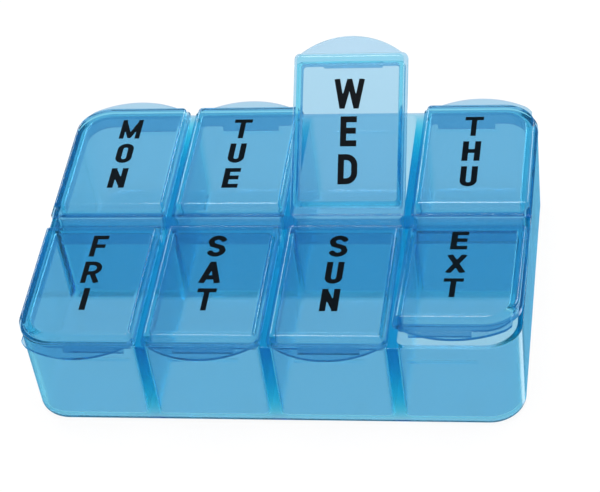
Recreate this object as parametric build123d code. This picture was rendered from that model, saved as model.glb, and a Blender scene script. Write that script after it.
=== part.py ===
from build123d import *
import math
import os

# Weekly pill organizer: an open tray moulded with eight compartments in two
# rows of four, a hinge strip along the middle and eight flip lids.
# Millimetres. X runs along the rows, Y from the front row to the back row,
# Z up. The origin is under the middle of the tray, on the table.

# ---- driving dimensions ------------------------------------------------
W, D = 108.0, 77.3          # tray at its rim, along X and along Y
H = 23.4                    # rim height
R = 8.0                     # plan radius of the four outer corners at the rim
DRAFT = 0.45                # how far each outer wall leans in from rim to base
WALL = 1.2                  # outer wall
FLOOR = 1.4                 # floor
PITCH = 26.95               # compartment pitch along X
PART_HALF = 1.1             # half thickness of a partition between columns
MID_HALF = 1.5              # half thickness of the wall between the rows
CELL_R = 1.3                # inner vertical corner radius of a compartment
FOOT_R = 1.8                # rolled edge round the underside

BEAD_DROP = 4.8             # latch bead below the rim, on the front and back walls
BEAD_LEN, BEAD_R, BEAD_OUT = 15.0, 0.5, 0.38
SHIFT = 3.2                 # corner latches sit this far towards the middle

HINGE_Y = 1.9               # fold line from the middle of the tray
FLANGE_T = 1.0              # lid flange, rim to its top face
AXIS_Z = H + FLANGE_T       # fold line height
WEB_R = 0.30                # rounded fold of the living hinge
WEB_GAP = 0.06              # running clearance round the fold
STRIP_HALF = 1.7            # half width of the hinge strip
STRIP_END = 1.3             # strip stops this far inside the end walls

LID_HALF = 12.8             # half width of a lid flange between partitions
OVER = 0.1                  # flange overhang past the outer wall
LIFT = 0.05                 # air between the flange and the rim
RAISE = 1.85                # raised panel above the flange top
INSET_SIDE = 0.8            # raised panel in from the flange edge, partition sides
INSET_OUT = 0.6             # the same on the outer and tab sides
PANEL_T = 1.1               # thickness of the raised panel
HINGE_IN = 1.7              # raised panel starts this far from the fold line
EDGE_R = 0.7                # rounded top edge of the raised panel
SKIRT_LOW = 2.9             # skirt bottom below the flange top
SKIRT_OUT = 1.75            # skirt outer face in from the flange edge, outer sides
CAV_OUT = 2.45              # inner face of wall and skirt, outer sides
CAV_SIDE = 1.7              # inner face of wall and skirt, partition sides
CAV_HINGE = 2.9             # inner face on the hinge side, from the fold line
TONGUE_LOW, TONGUE_HALF = 4.4, 6.6   # latch tongue under the tab side of the skirt
TAB_TOP = -0.35             # tab top face below the flange top
TAB_OUT = 4.0               # tab reach past the flange edge

# Rest pose of each lid in degrees from closed: one lid stands open and one is ajar.
DAYS = {
    "mon": (0, 1, 0.0), "tue": (1, 1, 0.0), "wed": (2, 1, 37.7), "thu": (3, 1, 0.0),
    "fri": (0, -1, 0.0), "sat": (1, -1, 0.0), "sun": (2, -1, 0.0), "ext": (3, -1, 8.5),
}

HW, HD = W / 2, D / 2
LF = HD + OVER - HINGE_Y    # flange length from the fold line


def rrect(x0, y0, x1, y1, r00, r10, r11, r01):
    """Rectangle face with its own radius at each corner, drawn on Z = 0."""
    k = 1 - math.sqrt(0.5)
    pts = []
    edges = []
    p = [
        ((x0 + r00, y0), (x1 - r10, y0), (x1 - r10 * k, y0 + r10 * k), (x1, y0 + r10)),
        ((x1, y0 + r10), (x1, y1 - r11), (x1 - r11 * k, y1 - r11 * k), (x1 - r11, y1)),
        ((x1 - r11, y1), (x0 + r01, y1), (x0 + r01 * k, y1 - r01 * k), (x0, y1 - r01)),
        ((x0, y1 - r01), (x0, y0 + r00), (x0 + r00 * k, y0 + r00 * k), (x0 + r00, y0)),
    ]
    for a, b, m, c in p:
        edges.append(Edge.make_line((*a, 0), (*b, 0)))
        edges.append(Edge.make_three_point_arc((*b, 0), (*m, 0), (*c, 0)))
    return Face(Wire(edges))


def prism(face, z0, z1):
    return extrude(Pos(0, 0, z0) * face, amount=z1 - z0, dir=(0, 0, 1))


def drafted(lower, upper, z0, z1):
    return Solid.make_loft([(Pos(0, 0, z0) * lower).outer_wire(), (Pos(0, 0, z1) * upper).outer_wire()], ruled=True)


def column(i):
    return (i - 1.5) * PITCH


# ---- tray --------------------------------------------------------------
def lean(z):
    """Inward lean of the outer wall at height z."""
    return DRAFT * (H - z) / H


def ring(z, inset, r):
    o = lean(z) + inset
    rr = r - lean(z)
    return rrect(-HW + o, -HD + o, HW - o, HD - o, rr, rr, rr, rr)


def make_tray():
    outer = drafted(ring(0, 0, R), ring(H, 0, R), 0, H)
    outer = fillet(outer.faces().sort_by(Axis.Z)[0].edges(), FOOT_R)
    tray = outer
    for i in range(4):
        xa = -HW if i == 0 else (i - 2) * PITCH + PART_HALF
        xb = HW if i == 3 else (i - 1) * PITCH - PART_HALF
        for side in (1, -1):
            faces = []
            for z in (FLOOR, H + 0.5):
                o = lean(z) + WALL
                x0 = xa + o if i == 0 else xa
                x1 = xb - o if i == 3 else xb
                y0, y1 = MID_HALF, HD - o
                big = R - WALL - lean(z)
                r01 = big if i == 0 else CELL_R
                r11 = big if i == 3 else CELL_R
                faces.append(rrect(x0, y0, x1, y1, CELL_R, CELL_R, r11, r01))
            cell = drafted(faces[0], faces[1], FLOOR, H + 0.5)
            cell = fillet(cell.faces().sort_by(Axis.Z)[0].edges(), 0.9)
            if side < 0:
                cell = mirror(cell, about=Plane.XZ)
            tray = tray - cell
    # soft edge round the outside of the rim
    top = tray.faces().sort_by(Axis.Z)[-1]
    tray = fillet(top.outer_wire().edges(), 0.25)
    # latch beads inside the front and back walls
    zb = H - BEAD_DROP
    yb = HD - WALL - lean(zb) + BEAD_R - BEAD_OUT
    for i in range(4):
        xc = column(i) + (SHIFT if i == 0 else -SHIFT if i == 3 else 0)
        for side in (1, -1):
            bead = Pos(xc, side * yb, zb) * Rot(0, 90, 0) * Cylinder(BEAD_R, BEAD_LEN)
            tray = tray + bead
    return tray


# ---- hinge strip and folds ---------------------------------------------
def make_strip():
    x = HW - STRIP_END
    strip = Pos(0, 0, H + FLANGE_T / 2) * Box(2 * x, 2 * STRIP_HALF, FLANGE_T)
    for i in range(4):
        # low gate mark beside each back-row lid
        strip = strip + Pos(column(i), STRIP_HALF - 0.65, AXIS_Z + 0.06) * Cylinder(0.55, 0.12)
    return strip


def lid_span(i):
    xa = -HW - OVER if i == 0 else column(i) - LID_HALF
    xb = HW + OVER if i == 3 else column(i) + LID_HALF
    return xa, xb


def make_web(i, side):
    xa, xb = lid_span(i)
    xa, xb = max(xa, -HW + STRIP_END) + 0.3, min(xb, HW - STRIP_END) - 0.3
    rod = Pos((xa + xb) / 2, HINGE_Y, AXIS_Z) * Rot(0, 90, 0) * Cylinder(WEB_R, xb - xa)
    keep = Pos(0, STRIP_HALF + 5, AXIS_Z) * Box(2 * W, 10, 10)
    web = rod & keep
    return web if side > 0 else mirror(web, about=Plane.XZ)


# ---- lids --------------------------------------------------------------
def make_lid(i):
    """Lid of the back row, closed: Y = 0 at the fold line, Z = 0 at the flange top."""
    xa, xb = lid_span(i)
    xc = column(i)
    left, right = i == 0, i == 3
    corner = R + OVER
    rl, rr = (corner if left else 1.3), (corner if right else 1.3)
    bottom = -FLANGE_T + LIFT

    flange = prism(rrect(xa, 0, xb, LF, 0.3, 0.3, rr, rl), bottom, 0)
    # hollow round the fold
    groove = Pos(xc, 0, 0) * Rot(200, 0, 0) * Rot(0, 90, 0) * Cylinder(WEB_R + WEB_GAP, 2 * PITCH)
    flange = flange - groove

    # finger tab: a shallow arc across the lid, low on the flange
    ta, tb, tl = column(i) - LID_HALF + 0.9, column(i) + LID_HALF - 0.9, LF - 0.3
    tab_edges = [
        Edge.make_three_point_arc((ta, tl, 0), (xc, LF + TAB_OUT, 0), (tb, tl, 0)),
        Edge.make_line((tb, tl, 0), (tb, LF - 8.6, 0)),
        Edge.make_line((tb, LF - 8.6, 0), (ta, LF - 8.6, 0)),
        Edge.make_line((ta, LF - 8.6, 0), (ta, tl, 0)),
    ]
    tab = prism(Face(Wire(tab_edges)), bottom, TAB_TOP)
    big = corner + 3.6
    trim = rrect(xa, LF - 20, xb, LF + TAB_OUT + 0.5, 0.3, 0.3, big if right else 0.9, big if left else 0.9)
    tab = tab & prism(trim, bottom - 1, 1)

    # raised panel with a rounded top edge
    ia, ib = (INSET_OUT if left else INSET_SIDE), (INSET_OUT if right else INSET_SIDE)
    body = prism(
        rrect(xa + ia, HINGE_IN, xb - ib, LF - INSET_OUT, 0.9, 0.9, rr - INSET_OUT if right else 1.0, rl - INSET_OUT if left else 1.0),
        bottom, RAISE)
    body = fillet(body.faces().sort_by(Axis.Z)[-1].edges(), EDGE_R)

    # skirt that drops into the compartment
    sa, sb = (SKIRT_OUT if left else INSET_SIDE), (SKIRT_OUT if right else INSET_SIDE)
    skirt = prism(
        rrect(xa + sa, HINGE_IN, xb - sb, LF - SKIRT_OUT, 0.9, 0.9, rr - SKIRT_OUT if right else 1.0, rl - SKIRT_OUT if left else 1.0),
        -SKIRT_LOW, bottom + 0.2)

    ca, cb = (CAV_OUT if left else CAV_SIDE), (CAV_OUT if right else CAV_SIDE)
    cavity = prism(
        rrect(xa + ca, CAV_HINGE, xb - cb, LF - CAV_OUT, 0.8, 0.8, rr - CAV_OUT if right else 0.8, rl - CAV_OUT if left else 0.8),
        -SKIRT_LOW - 1, RAISE - PANEL_T)
    cavity = fillet(cavity.faces().sort_by(Axis.Z)[-1].edges(), 0.5)

    lid = flange + tab + body + skirt - cavity

    # latch tongue on the tab side of the skirt
    tx = xc + (SHIFT if left else -SHIFT if right else 0)
    t_mid = LF - (SKIRT_OUT + CAV_OUT) / 2
    tongue = Pos(tx, t_mid, -(TONGUE_LOW + SKIRT_LOW - 0.3) / 2) * Box(2 * TONGUE_HALF, CAV_OUT - SKIRT_OUT, TONGUE_LOW - SKIRT_LOW + 0.3)
    lid = lid + tongue
    return lid


def place_lid(lid, side, angle):
    lid = Rot(angle, 0, 0) * lid
    lid = Pos(0, HINGE_Y, AXIS_Z) * lid
    return lid if side > 0 else mirror(lid, about=Plane.XZ)


def solid_of(shape, name):
    solids = list(shape.solids())
    assert solids, name
    return solids[0] if len(solids) == 1 else Compound(children=solids)


os.makedirs("parts", exist_ok=True)
out = {"tray": make_tray(), "hinge_strip": make_strip()}
for day, (i, side, angle) in DAYS.items():
    out["fold_" + day] = make_web(i, side)
    out["lid_" + day] = place_lid(make_lid(i), side, angle)
for name, shape in out.items():
    s = solid_of(shape, name)
    export_step(s, f"parts/{name}.step")
    b = s.bounding_box()
    print(f"{name:12s} solids {len(shape.solids())} volume {s.volume:9.2f} valid {s.is_valid} "
          f"x {b.min.X:.2f}..{b.max.X:.2f} y {b.min.Y:.2f}..{b.max.Y:.2f} z {b.min.Z:.2f}..{b.max.Z:.2f}")
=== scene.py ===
import math

import bmesh
import bpy
import numpy as np
from mathutils import Matrix, Vector


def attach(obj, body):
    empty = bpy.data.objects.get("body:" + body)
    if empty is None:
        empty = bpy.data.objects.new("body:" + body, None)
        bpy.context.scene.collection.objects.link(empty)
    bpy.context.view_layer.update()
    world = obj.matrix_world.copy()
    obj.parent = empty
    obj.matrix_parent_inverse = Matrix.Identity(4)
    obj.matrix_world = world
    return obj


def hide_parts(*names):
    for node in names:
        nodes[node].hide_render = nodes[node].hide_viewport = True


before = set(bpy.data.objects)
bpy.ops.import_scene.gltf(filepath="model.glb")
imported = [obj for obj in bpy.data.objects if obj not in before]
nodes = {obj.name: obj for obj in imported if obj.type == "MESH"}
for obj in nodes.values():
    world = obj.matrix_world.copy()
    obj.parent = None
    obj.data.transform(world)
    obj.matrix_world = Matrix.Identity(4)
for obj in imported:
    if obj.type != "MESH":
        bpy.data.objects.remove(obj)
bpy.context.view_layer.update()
MM = 0.001

# ---- the lids, as the frame holds them ----------------------------------
PITCH, HINGE_Y, AXIS_Z, RAISE = 26.95, 1.9, 24.4, 1.85
DAYS = {
    "mon": (0, 1, 0.0), "tue": (1, 1, 0.0), "wed": (2, 1, 37.7), "thu": (3, 1, 0.0),
    "fri": (0, -1, 0.0), "sat": (1, -1, 0.0), "sun": (2, -1, 0.0), "ext": (3, -1, 8.5),
}
# top of the first letter from the fold line (outermost edge on the back lids, innermost on the front), pitch, sideways
PRINT_AT = {
    "mon": (31.6, 8.68, 0.15), "tue": (31.4, 8.68, -0.42), "wed": (30.45, 8.555, 0.13), "thu": (31.5, 8.68, -0.72),
    "fri": (4.95, 8.4, 0.25), "sat": (4.95, 8.4, -0.18), "sun": (5.0, 8.4, -0.28), "ext": (4.9, 8.8, -0.95),
}
LETTERS = {"mon": "MON", "tue": "TUE", "wed": "WED", "thu": "THU", "fri": "FRI", "sat": "SAT", "sun": "SUN", "ext": "EXT"}


def lid_matrix(day):
    """From a lid's own axes (x across, y along from the fold line, z out of the flange top) to the frame, in mm."""
    i, side, a = DAYS[day]
    m = Matrix.Translation((((i - 1.5) * PITCH), HINGE_Y, AXIS_Z)) @ Matrix.Rotation(math.radians(a), 4, "X")
    if side < 0:
        m = Matrix.Scale(-1, 4, (0, 1, 0)) @ m
    return m


# ---- node helpers --------------------------------------------------------
class Tree:
    def __init__(self, name):
        self.mat = bpy.data.materials.new(name)
        self.mat.use_nodes = True
        self.t = self.mat.node_tree
        self.t.nodes.clear()
        self.out = self.t.nodes.new("ShaderNodeOutputMaterial")

    def node(self, kind, **sockets):
        n = self.t.nodes.new(kind)
        for k, v in sockets.items():
            key = k.replace("_", " ")
            if key in n.inputs:
                n.inputs[key].default_value = v
            else:
                setattr(n, k, v)
        return n

    def link(self, a, b):
        self.t.links.new(a, b)

    def math(self, op, a, b=None, clamp=False):
        n = self.t.nodes.new("ShaderNodeMath")
        n.operation, n.use_clamp = op, clamp
        for k, v in enumerate((a, b)):
            if v is None:
                continue
            if isinstance(v, (int, float)):
                n.inputs[k].default_value = v
            else:
                self.link(v, n.inputs[k])
        return n.outputs[0]

    def noise(self, coord, scale, detail=2.0, rough=0.5):
        n = self.t.nodes.new("ShaderNodeTexNoise")
        n.inputs["Scale"].default_value = scale
        n.inputs["Detail"].default_value = detail
        n.inputs["Roughness"].default_value = rough
        self.link(coord, n.inputs["Vector"])
        return n.outputs["Fac"]

    def span(self, value, lo, hi, a, b):
        n = self.t.nodes.new("ShaderNodeMapRange")
        for k, v in (("From Min", lo), ("From Max", hi), ("To Min", a), ("To Max", b)):
            n.inputs[k].default_value = v
        self.link(value, n.inputs["Value"])
        return n.outputs["Result"]

    def stretched(self, coord, scale, turn=(0, 0, 0)):
        n = self.t.nodes.new("ShaderNodeMapping")
        n.inputs["Scale"].default_value = scale
        n.inputs["Rotation"].default_value = turn
        self.link(coord, n.inputs["Vector"])
        return n.outputs["Vector"]


def clear_plastic(name, tint, per_mm, bend, rough, wave, seed, clear):
    """Tinted clear moulded plastic: the tint of its skin, absorption per mm of red, green and blue, how far it bends
    light, and a nearly smooth skin with the slow waviness of a thin moulding, faint flow lines and a few hairline
    scratches."""
    t = Tree(name)
    tc = t.node("ShaderNodeTexCoord")
    at = t.node("ShaderNodeMapping")
    at.inputs["Location"].default_value = (seed, seed * 0.7, seed * 0.3)
    t.link(tc.outputs["Object"], at.inputs["Vector"])
    at = at.outputs["Vector"]
    sh = t.node("ShaderNodeBsdfPrincipled")
    sh.inputs["Base Color"].default_value = tuple(tint) + (1.0,)
    sh.inputs["Transmission Weight"].default_value = clear
    # the body hardly bends light, so thin walls do not trap it, and the coat carries the gloss
    sh.inputs["IOR"].default_value = bend
    sh.inputs["Coat Weight"].default_value = 0.85
    sh.inputs["Coat IOR"].default_value = 1.5
    sh.inputs["Coat Roughness"].default_value = 0.14
    # polish varies slowly, and hairlines are rougher
    cloud = t.noise(at, 90.0, 4.0, 0.55)
    hair = t.noise(t.stretched(at, (900.0, 25.0, 900.0), (0.3, 0.2, 0.6)), 1.0, 2.0, 0.6)
    hair = t.span(hair, 0.66, 0.74, 0.0, 1.0)
    r = t.math("ADD", t.span(cloud, 0.3, 0.7, rough * 0.6, rough * 1.5), t.math("MULTIPLY", hair, 0.05))
    t.link(r, sh.inputs["Roughness"])
    slow = t.noise(at, 55.0, 1.0, 0.4)
    flow = t.noise(t.stretched(at, (60.0, 420.0, 60.0)), 1.0, 1.0, 0.4)
    fine = t.noise(at, 1400.0, 1.0, 0.5)
    h = t.math("ADD", t.math("MULTIPLY", slow, 1.0), t.math("MULTIPLY", flow, 0.12))
    h = t.math("ADD", h, t.math("MULTIPLY", fine, 0.004))
    h = t.math("SUBTRACT", h, t.math("MULTIPLY", hair, 0.003))
    b = t.node("ShaderNodeBump")
    b.inputs["Strength"].default_value = 1.0
    b.inputs["Distance"].default_value = wave
    t.link(h, b.inputs["Height"])
    t.link(b.outputs["Normal"], sh.inputs["Normal"])
    t.link(sh.outputs["BSDF"], t.out.inputs["Surface"])
    va = t.node("ShaderNodeVolumeAbsorption")
    density = max(per_mm) * 1.02 * 1000.0
    va.inputs["Color"].default_value = tuple(1.0 - k * 1000.0 / density for k in per_mm) + (1.0,)
    va.inputs["Density"].default_value = density
    t.link(va.outputs["Volume"], t.out.inputs["Volume"])
    return t.mat


def ink(name):
    """Screen-printed black ink: satin, with a faint mottle and slightly worn film."""
    t = Tree(name)
    tc = t.node("ShaderNodeTexCoord")
    at = tc.outputs["Object"]
    sh = t.node("ShaderNodeBsdfPrincipled")
    mottle = t.noise(at, 2600.0, 4.0, 0.6)
    ramp = t.node("ShaderNodeValToRGB")
    ramp.color_ramp.elements[0].position, ramp.color_ramp.elements[0].color = 0.3, (0.0006, 0.0009, 0.0014, 1)
    ramp.color_ramp.elements[1].position, ramp.color_ramp.elements[1].color = 0.75, (0.0025, 0.0035, 0.005, 1)
    t.link(mottle, ramp.inputs["Fac"])
    t.link(ramp.outputs["Color"], sh.inputs["Base Color"])
    t.link(t.span(t.noise(at, 700.0, 3.0, 0.5), 0.3, 0.7, 0.34, 0.5), sh.inputs["Roughness"])
    sh.inputs["Specular IOR Level"].default_value = 0.06
    b = t.node("ShaderNodeBump")
    b.inputs["Strength"].default_value = 0.5
    b.inputs["Distance"].default_value = 0.00001
    t.link(mottle, b.inputs["Height"])
    t.link(b.outputs["Normal"], sh.inputs["Normal"])
    t.link(sh.outputs["BSDF"], t.out.inputs["Surface"])
    return t.mat


def floor_material():
    t = Tree("pale_floor")
    tc = t.node("ShaderNodeTexCoord")
    sh = t.node("ShaderNodeBsdfPrincipled")
    n = t.noise(tc.outputs["Object"], 14.0, 3.0, 0.5)
    ramp = t.node("ShaderNodeValToRGB")
    ramp.color_ramp.elements[0].color = (0.055, 0.055, 0.055, 1)
    ramp.color_ramp.elements[1].color = (0.062, 0.062, 0.062, 1)
    t.link(n, ramp.inputs["Fac"])
    t.link(ramp.outputs["Color"], sh.inputs["Base Color"])
    sh.inputs["Roughness"].default_value = 0.9
    sh.inputs["Specular IOR Level"].default_value = 0.1
    # the table is lit from underneath as well, as for product pictures
    sh.inputs["Emission Color"].default_value = (1.0, 1.0, 1.0, 1.0)
    sh.inputs["Emission Strength"].default_value = 0.93
    t.link(sh.outputs["BSDF"], t.out.inputs["Surface"])
    return t.mat


TRAY_SKIN, TRAY_TINT = (0.56, 0.715, 0.86), (0.25, 0.033, 0.012)
LID_SKIN, LID_TINT = (0.56, 0.70, 0.845), (0.25, 0.032, 0.011)
tray_mat = clear_plastic("tray_clear_blue", TRAY_SKIN, TRAY_TINT, 1.2, 0.11, 0.000018, 0.0, 1.0)
lid_mat = clear_plastic("lid_clear_blue", LID_SKIN, LID_TINT, 1.14, 0.075, 0.000018, 0.37, 1.0)
ink_mat = ink("print_black")

for name, o in nodes.items():
    mat = tray_mat if name == "tray" else lid_mat
    o.data.materials.clear()
    o.data.materials.append(mat)


def hairline_gap(node, test, value, axis):
    """A copy of a CAD node whose contact face is drawn back a few hundredths of a millimetre, as two mouldings touch."""
    me = nodes[node].data.copy()
    me.name = node + "_skin"
    for v in me.vertices:
        if test(v.co):
            v.co[axis] = math.copysign(value, v.co[axis])
    o = bpy.data.objects.new(node + "_skin", me)
    bpy.context.scene.collection.objects.link(o)
    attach(o, "base")
    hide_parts(node)
    return o


hairline_gap("hinge_strip", lambda c: c.z < 0.02345, 0.02344, 2)
for name in DAYS:
    hairline_gap("fold_" + name, lambda c: abs(c.y) < 0.001705, 0.00173, 1)


# ---- printed weekday marks ----------------------------------------------
# A plain stroke alphabet on a unit-high letter: each stroke is a list of points; widths are in letter heights.
def arc(cx, cy, rx, ry, a0, a1, n=14):
    return [(cx + rx * math.cos(math.radians(a0 + (a1 - a0) * k / n)), cy + ry * math.sin(math.radians(a0 + (a1 - a0) * k / n))) for k in range(n + 1)]


# stroke width in letter heights; crowded letters are cut lighter
WEIGHT = {"M": 0.165, "W": 0.185, "R": 0.175, "F": 0.175, "T": 0.18, "X": 0.19}


def glyph(c):
    """(width, strokes, half stroke) with the outer edges of the strokes at 0..width and 0..1."""
    h = WEIGHT.get(c, 0.2) / 2
    w, strokes = outline(c, h)
    return w, strokes, h


def outline(c, h):
    if c == "M":
        w = 0.72
        return w, [[(h, 0), (h, 1)], [(w - h, 0), (w - h, 1)], [(h * 0.9, 1 - h), (w / 2, h * 1.3), (w - h * 0.9, 1 - h)]]
    if c == "O":
        w = 0.56
        r = w / 2 - h
        return w, [arc(w / 2, 1 - h - r, r, r, 0, 180) + arc(w / 2, h + r, r, r, 180, 360) + [(w - h, 1 - h - r)]]
    if c == "N":
        w = 0.58
        return w, [[(h, 0), (h, 1)], [(w - h, 0), (w - h, 1)], [(h, 1 - h * 0.9), (w - h, h * 0.9)]]
    if c == "T":
        w = 0.62
        return w, [[(0, 1 - h), (w, 1 - h)], [(w / 2, 0), (w / 2, 1 - h)]]
    if c == "U":
        w = 0.56
        r = w / 2 - h
        return w, [[(h, 1)] + arc(w / 2, h + r, r, r, 180, 360) + [(w - h, 1)]]
    if c == "E":
        w = 0.54
        return w, [[(h, 0), (h, 1)], [(h, 1 - h), (w, 1 - h)], [(h, 0.52), (w * 0.95, 0.52)], [(h, h), (w, h)]]
    if c == "F":
        w = 0.52
        return w, [[(h, 0), (h, 1)], [(h, 1 - h), (w, 1 - h)], [(h, 0.5), (w * 0.92, 0.5)]]
    if c == "W":
        w = 1.0
        return w, [[(h * 0.95, 1), (w * 0.27, h * 0.5), (w / 2, 1 - h * 0.6), (w * 0.73, h * 0.5), (w - h * 0.95, 1)]]
    if c == "D":
        w = 0.64
        r = 0.27
        return w, [[(h, 0), (h, 1)], [(h, 1 - h)] + arc(w - h - r, 1 - h - r, r, r, 90, 0) + arc(w - h - r, h + r, r, r, 0, -90) + [(h, h)]]
    if c == "H":
        w = 0.60
        return w, [[(h, 0), (h, 1)], [(w - h, 0), (w - h, 1)], [(h, 0.5), (w - h, 0.5)]]
    if c == "R":
        w = 0.60
        r = (1 - h - 0.46) / 2
        return w, [[(h, 0), (h, 1)], [(h, 1 - h)] + arc(w - h - r, 1 - h - r, r, r, 90, -90) + [(h, 0.46)], [(w * 0.52, 0.46), (w - h * 0.85, 0)]]
    if c == "I":
        return 2 * h, [[(h, 0), (h, 1)]]
    if c == "S":
        w = 0.62
        r = w / 2 - h
        q = (1 - 2 * h) / 4
        return w, [arc(w / 2, 1 - h - q, r, q, 18, 180, 12) + [(w / 2 - r * 0.72, 0.5 + q * 0.30), (w / 2, 0.5), (w / 2 + r * 0.72, 0.5 - q * 0.30)] + arc(w / 2, h + q, r, q, 0, -162, 12)]
    if c == "A":
        w = 0.68
        return w, [[(h * 0.8, 0), (w / 2, 1 - h * 0.35), (w - h * 0.8, 0)], [(w * 0.24, 0.27), (w * 0.76, 0.27)]]
    if c == "X":
        w = 0.66
        return w, [[(h, 0), (w - h, 1)], [(w - h, 0), (h, 1)]]
    raise ValueError(c)


def stroke_distance(c, x, y):
    """Signed distance in letter heights to the edge of a letter's strokes, negative inside."""
    _, strokes, h = glyph(c)
    best = np.full(x.shape, 9.0)
    for s in strokes:
        for k in range(len(s) - 1):
            ax, ay = s[k]
            bx, by = s[k + 1]
            dx, dy = bx - ax, by - ay
            L = math.hypot(dx, dy)
            if L < 1e-9:
                continue
            u = ((x - ax) * dx + (y - ay) * dy) / L
            v = np.abs((x - ax) * dy - (y - ay) * dx) / L
            cu = np.clip(u, 0, L)
            d = np.hypot(u - cu, v) - h
            if k == 0:                       # square ends
                d = np.maximum(d, np.where(u < 0, -u, -9.0))
            if k == len(s) - 2:
                d = np.maximum(d, np.where(u > L, u - L, -9.0))
            best = np.minimum(best, d)
    # every letter keeps between its base line and its cap line
    return np.maximum(best, np.maximum(-y, y - 1.0))


HEIGHT, THICK, STEP = 6.8, 0.05, 0.085      # letter height, ink film and mesh step, mm


def letter_mesh(bm, c, matrix):
    """Adds one printed letter, centred on the origin of matrix: a film whose edge rounds down to the plastic."""
    w = glyph(c)[0]
    nx, ny = int(w * HEIGHT / STEP) + 5, int(HEIGHT / STEP) + 5
    gx = (np.arange(nx) - 2) * STEP / HEIGHT
    gy = (np.arange(ny) - 2) * STEP / HEIGHT
    x, y = np.meshgrid(gx, gy, indexing="ij")
    for _ in range(3):                       # points just past the edge move onto it
        d = stroke_distance(c, x, y)
        e = 1e-4
        ddx = (stroke_distance(c, x + e, y) - stroke_distance(c, x - e, y)) / (2 * e)
        ddy = (stroke_distance(c, x, y + e) - stroke_distance(c, x, y - e)) / (2 * e)
        g = np.hypot(ddx, ddy) + 1e-9
        near = np.abs(d) < 0.62 * STEP / HEIGHT
        x = np.where(near, x - d * ddx / g, x)
        y = np.where(near, y - d * ddy / g, y)
    d = stroke_distance(c, x, y)
    inside = d < 0.15 * STEP / HEIGHT
    keep = inside[:-1, :-1] & inside[1:, :-1] & inside[1:, 1:] & inside[:-1, 1:]
    used = np.zeros(x.shape, bool)
    for a, b in ((slice(None, -1), slice(None, -1)), (slice(1, None), slice(None, -1)), (slice(1, None), slice(1, None)), (slice(None, -1), slice(1, None))):
        used[a, b] |= keep
    top, low = {}, {}
    edge = 0.16 / HEIGHT
    for i, j in zip(*np.nonzero(used)):
        depth = min(max(-d[i, j] / edge, 0.0), 1.0)
        z = THICK * (0.25 + 0.75 * math.sqrt(1 - (1 - depth) ** 2))
        px, py = (x[i, j] - w / 2) * HEIGHT, (y[i, j] - 0.5) * HEIGHT
        top[i, j] = bm.verts.new(matrix @ Vector((px, py, z)))
        low[i, j] = bm.verts.new(matrix @ Vector((px, py, 0.004)))
    count = {}
    for i, j in zip(*np.nonzero(keep)):
        q = [(i, j), (i + 1, j), (i + 1, j + 1), (i, j + 1)]
        bm.faces.new([top[k] for k in q])
        bm.faces.new([low[k] for k in reversed(q)])
        for a, b in zip(q, q[1:] + q[:1]):
            count[a, b] = 1
    for a, b in list(count):
        if (b, a) not in count:
            bm.faces.new([top[b], top[a], low[a], low[b]])


def printed_word(day):
    i, side, _ = DAYS[day]
    m = lid_matrix(day)
    bm = bmesh.new()
    start, pitch, across = PRINT_AT[day]
    for k, c in enumerate(LETTERS[day]):
        if side > 0:
            place = Matrix.Translation((across, start - HEIGHT / 2 - pitch * k, RAISE))
        else:
            # the front lids' own axes run towards the viewer, so the letter is turned back upright
            place = Matrix.Translation((across, start + HEIGHT / 2 + pitch * k, RAISE)) @ Matrix.Scale(-1, 4, (0, 1, 0))
        letter_mesh(bm, c, m @ place)
    bmesh.ops.recalc_face_normals(bm, faces=bm.faces)
    bmesh.ops.scale(bm, vec=(MM, MM, MM), verts=bm.verts)
    me = bpy.data.meshes.new("print_" + day)
    bm.to_mesh(me)
    bm.free()
    for p in me.polygons:
        p.use_smooth = True
    me.materials.append(ink_mat)
    o = bpy.data.objects.new("print_" + day, me)
    bpy.context.scene.collection.objects.link(o)
    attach(o, "lid_" + day + "_body")
    return o


for day in DAYS:
    printed_word(day)

# ---- floor, light and camera -----------------------------------------------
bpy.ops.mesh.primitive_plane_add(size=6.0, location=(0, 0, -0.00025))
floor = bpy.context.object
floor.name = "floor"
floor.data.materials.append(floor_material())
floor.visible_glossy = False

world = bpy.data.worlds.new("studio")
bpy.context.scene.world = world
world.use_nodes = True
bg = world.node_tree.nodes["Background"]
bg.inputs["Color"].default_value = (1.0, 1.0, 1.0, 1.0)
# a white tent all round; glossy rays see it dimmed and tinted blue instead, a painted blue reflection on the plastic's
# gloss
wt = world.node_tree
path = wt.nodes.new("ShaderNodeLightPath")
painted_blue_reflection = wt.nodes.new("ShaderNodeMix")
painted_blue_reflection.data_type = "RGBA"
for k in painted_blue_reflection.inputs:
    if k.type == "RGBA":
        k.default_value = (1.0, 1.0, 1.0, 1.0) if k.name == "A" else (0.14, 0.47, 0.74, 1.0)
wt.links.new(path.outputs["Is Glossy Ray"], painted_blue_reflection.inputs["Factor"])
# a bright patch low on the far right that only glossy rays see, a painted highlight: the soft line down the near right
# corner
sky = wt.nodes.new("ShaderNodeTexCoord")
dot = wt.nodes.new("ShaderNodeVectorMath")
dot.operation = "DOT_PRODUCT"
dot.inputs[1].default_value = (0.514, 0.544, -0.663)
wt.links.new(sky.outputs["Generated"], dot.inputs[0])
painted_highlight_patch = wt.nodes.new("ShaderNodeMapRange")
painted_highlight_patch.interpolation_type = "SMOOTHSTEP"
painted_highlight_patch.inputs["From Min"].default_value, painted_highlight_patch.inputs["From Max"].default_value = 0.975, 0.993
wt.links.new(dot.outputs["Value"], painted_highlight_patch.inputs["Value"])
painted_highlight_mask = wt.nodes.new("ShaderNodeMath")
painted_highlight_mask.operation = "MULTIPLY"
wt.links.new(painted_highlight_patch.outputs["Result"], painted_highlight_mask.inputs[0])
wt.links.new(path.outputs["Is Glossy Ray"], painted_highlight_mask.inputs[1])
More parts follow.
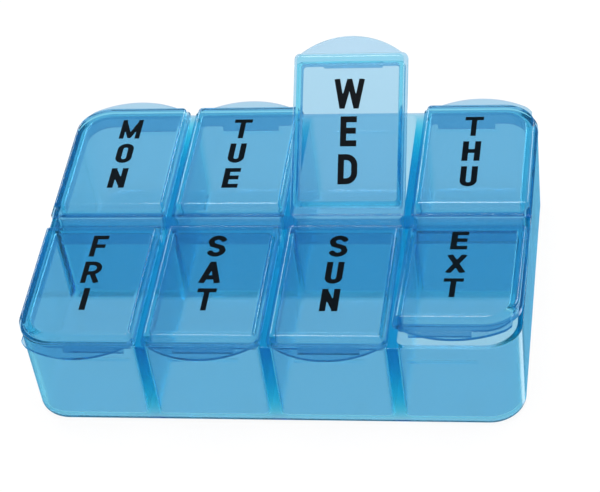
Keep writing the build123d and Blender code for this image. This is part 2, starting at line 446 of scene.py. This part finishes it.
# the world colour with the painted blue reflection and the painted highlight patch mixed in
lit = wt.nodes.new("ShaderNodeMix")
lit.data_type = "RGBA"
wt.links.new(painted_highlight_mask.outputs["Value"], lit.inputs["Factor"])
wt.links.new([k for k in painted_blue_reflection.outputs if k.type == "RGBA"][0], [k for k in lit.inputs if k.type == "RGBA"][0])
# colour of the painted highlight, brighter than the white tent
[k for k in lit.inputs if k.type == "RGBA"][1].default_value = (1.6, 1.8, 2.0, 1.0)
wt.links.new([k for k in lit.outputs if k.type == "RGBA"][0], bg.inputs["Color"])
bg.inputs["Strength"].default_value = 0.9


def softbox(name, at, to, size, watts, color=(1, 1, 1)):
    d = bpy.data.lights.new(name, "AREA")
    d.shape, d.size, d.size_y = "RECTANGLE", size[0], size[1]
    d.energy, d.color = watts, color
    o = bpy.data.objects.new(name, d)
    bpy.context.scene.collection.objects.link(o)
    o.location = at
    o.rotation_euler = (Vector(to) - Vector(at)).to_track_quat("-Z", "Y").to_euler()
    return o


softbox("top_softbox", (0.0, -0.08, 1.2), (0, -0.08, 0), (0.6, 0.6), 9.5)
softbox("right_softbox", (0.62, 0.72, 0.36), (0, 0, 0.02), (0.5, 0.34), 2.4)
softbox("left_softbox", (-0.66, 0.70, 0.30), (0, 0, 0.02), (0.5, 0.34), 2.2)

cam_data = bpy.data.cameras.new("camera")
cam = bpy.data.objects.new("camera", cam_data)
bpy.context.scene.collection.objects.link(cam)
az, el, roll = math.radians(13.34), math.radians(41.53), math.radians(-8.98)
dist, focal, cx, cy = 519.189, 2287.394, 291.457, 240.591
target = Vector((-1.114, 7.169, 12.0))
fwd = -Vector((math.sin(az) * math.cos(el), -math.cos(az) * math.cos(el), math.sin(el)))
right = Vector((math.cos(az), math.sin(az), 0))
up = right.cross(fwd)
r2 = math.cos(roll) * right + math.sin(roll) * up
u2 = -math.sin(roll) * right + math.cos(roll) * up
eye = (target - fwd * dist) * MM
rot = Matrix((r2, u2, -fwd)).transposed().to_4x4()
cam.matrix_world = Matrix.Translation(eye) @ rot
cam_data.sensor_fit = "HORIZONTAL"
cam_data.sensor_width = 36.0
cam_data.lens = focal / 600.0 * 36.0
cam_data.shift_x = (300.0 - cx) / 600.0
cam_data.shift_y = (cy - 246.0) / 600.0
cam_data.clip_start, cam_data.clip_end = 0.01, 20.0
cam_data.dof.use_dof = False
sc = bpy.context.scene
sc.camera = cam

sc.view_settings.view_transform = "Standard"
sc.view_settings.look = "None"
# light crosses many thin walls before it leaves a closed clear box
sc.cycles.max_bounces = 28
sc.cycles.transmission_bounces = 28
sc.cycles.glossy_bounces = 8
sc.cycles.diffuse_bounces = 6
sc.cycles.transparent_max_bounces = 16
